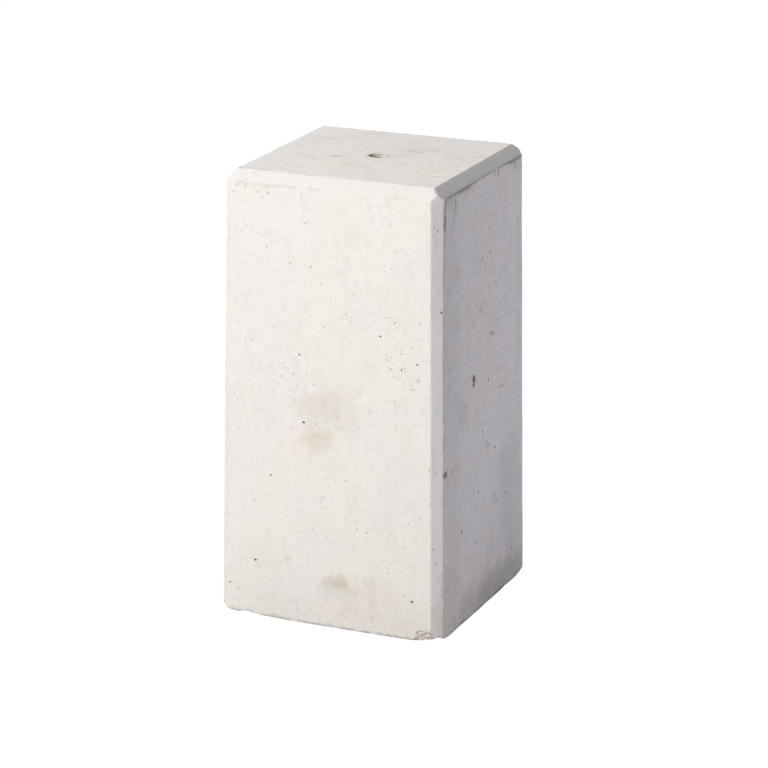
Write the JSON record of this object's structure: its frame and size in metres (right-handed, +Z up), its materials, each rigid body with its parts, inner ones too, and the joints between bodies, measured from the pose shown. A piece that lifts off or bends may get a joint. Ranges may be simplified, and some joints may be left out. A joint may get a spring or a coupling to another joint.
{
  "type": "column base block",
  "caption": "Square precast concrete base block, slightly tapered, with chamfered arrises and a threaded steel socket in the top for a post or column foot.",
  "frame": {"origin": "centre of the underside, on the ground", "axes": "+Z up along the block's height, towards the threaded socket; -Y is the front face of the picture and +X its right face"},
  "size_m": [0.211, 0.211, 0.4],
  "materials": {
    "concrete": "form-smooth cast concrete, pale warm grey, with pinholes and slight stains",
    "zinc_plated_steel": "dull zinc plate with a film of cement on the rim"
  },
  "bodies": {
    "root": {"concrete_block": "concrete", "threaded_sleeve": "zinc_plated_steel"}
  },
  "joints": []
}
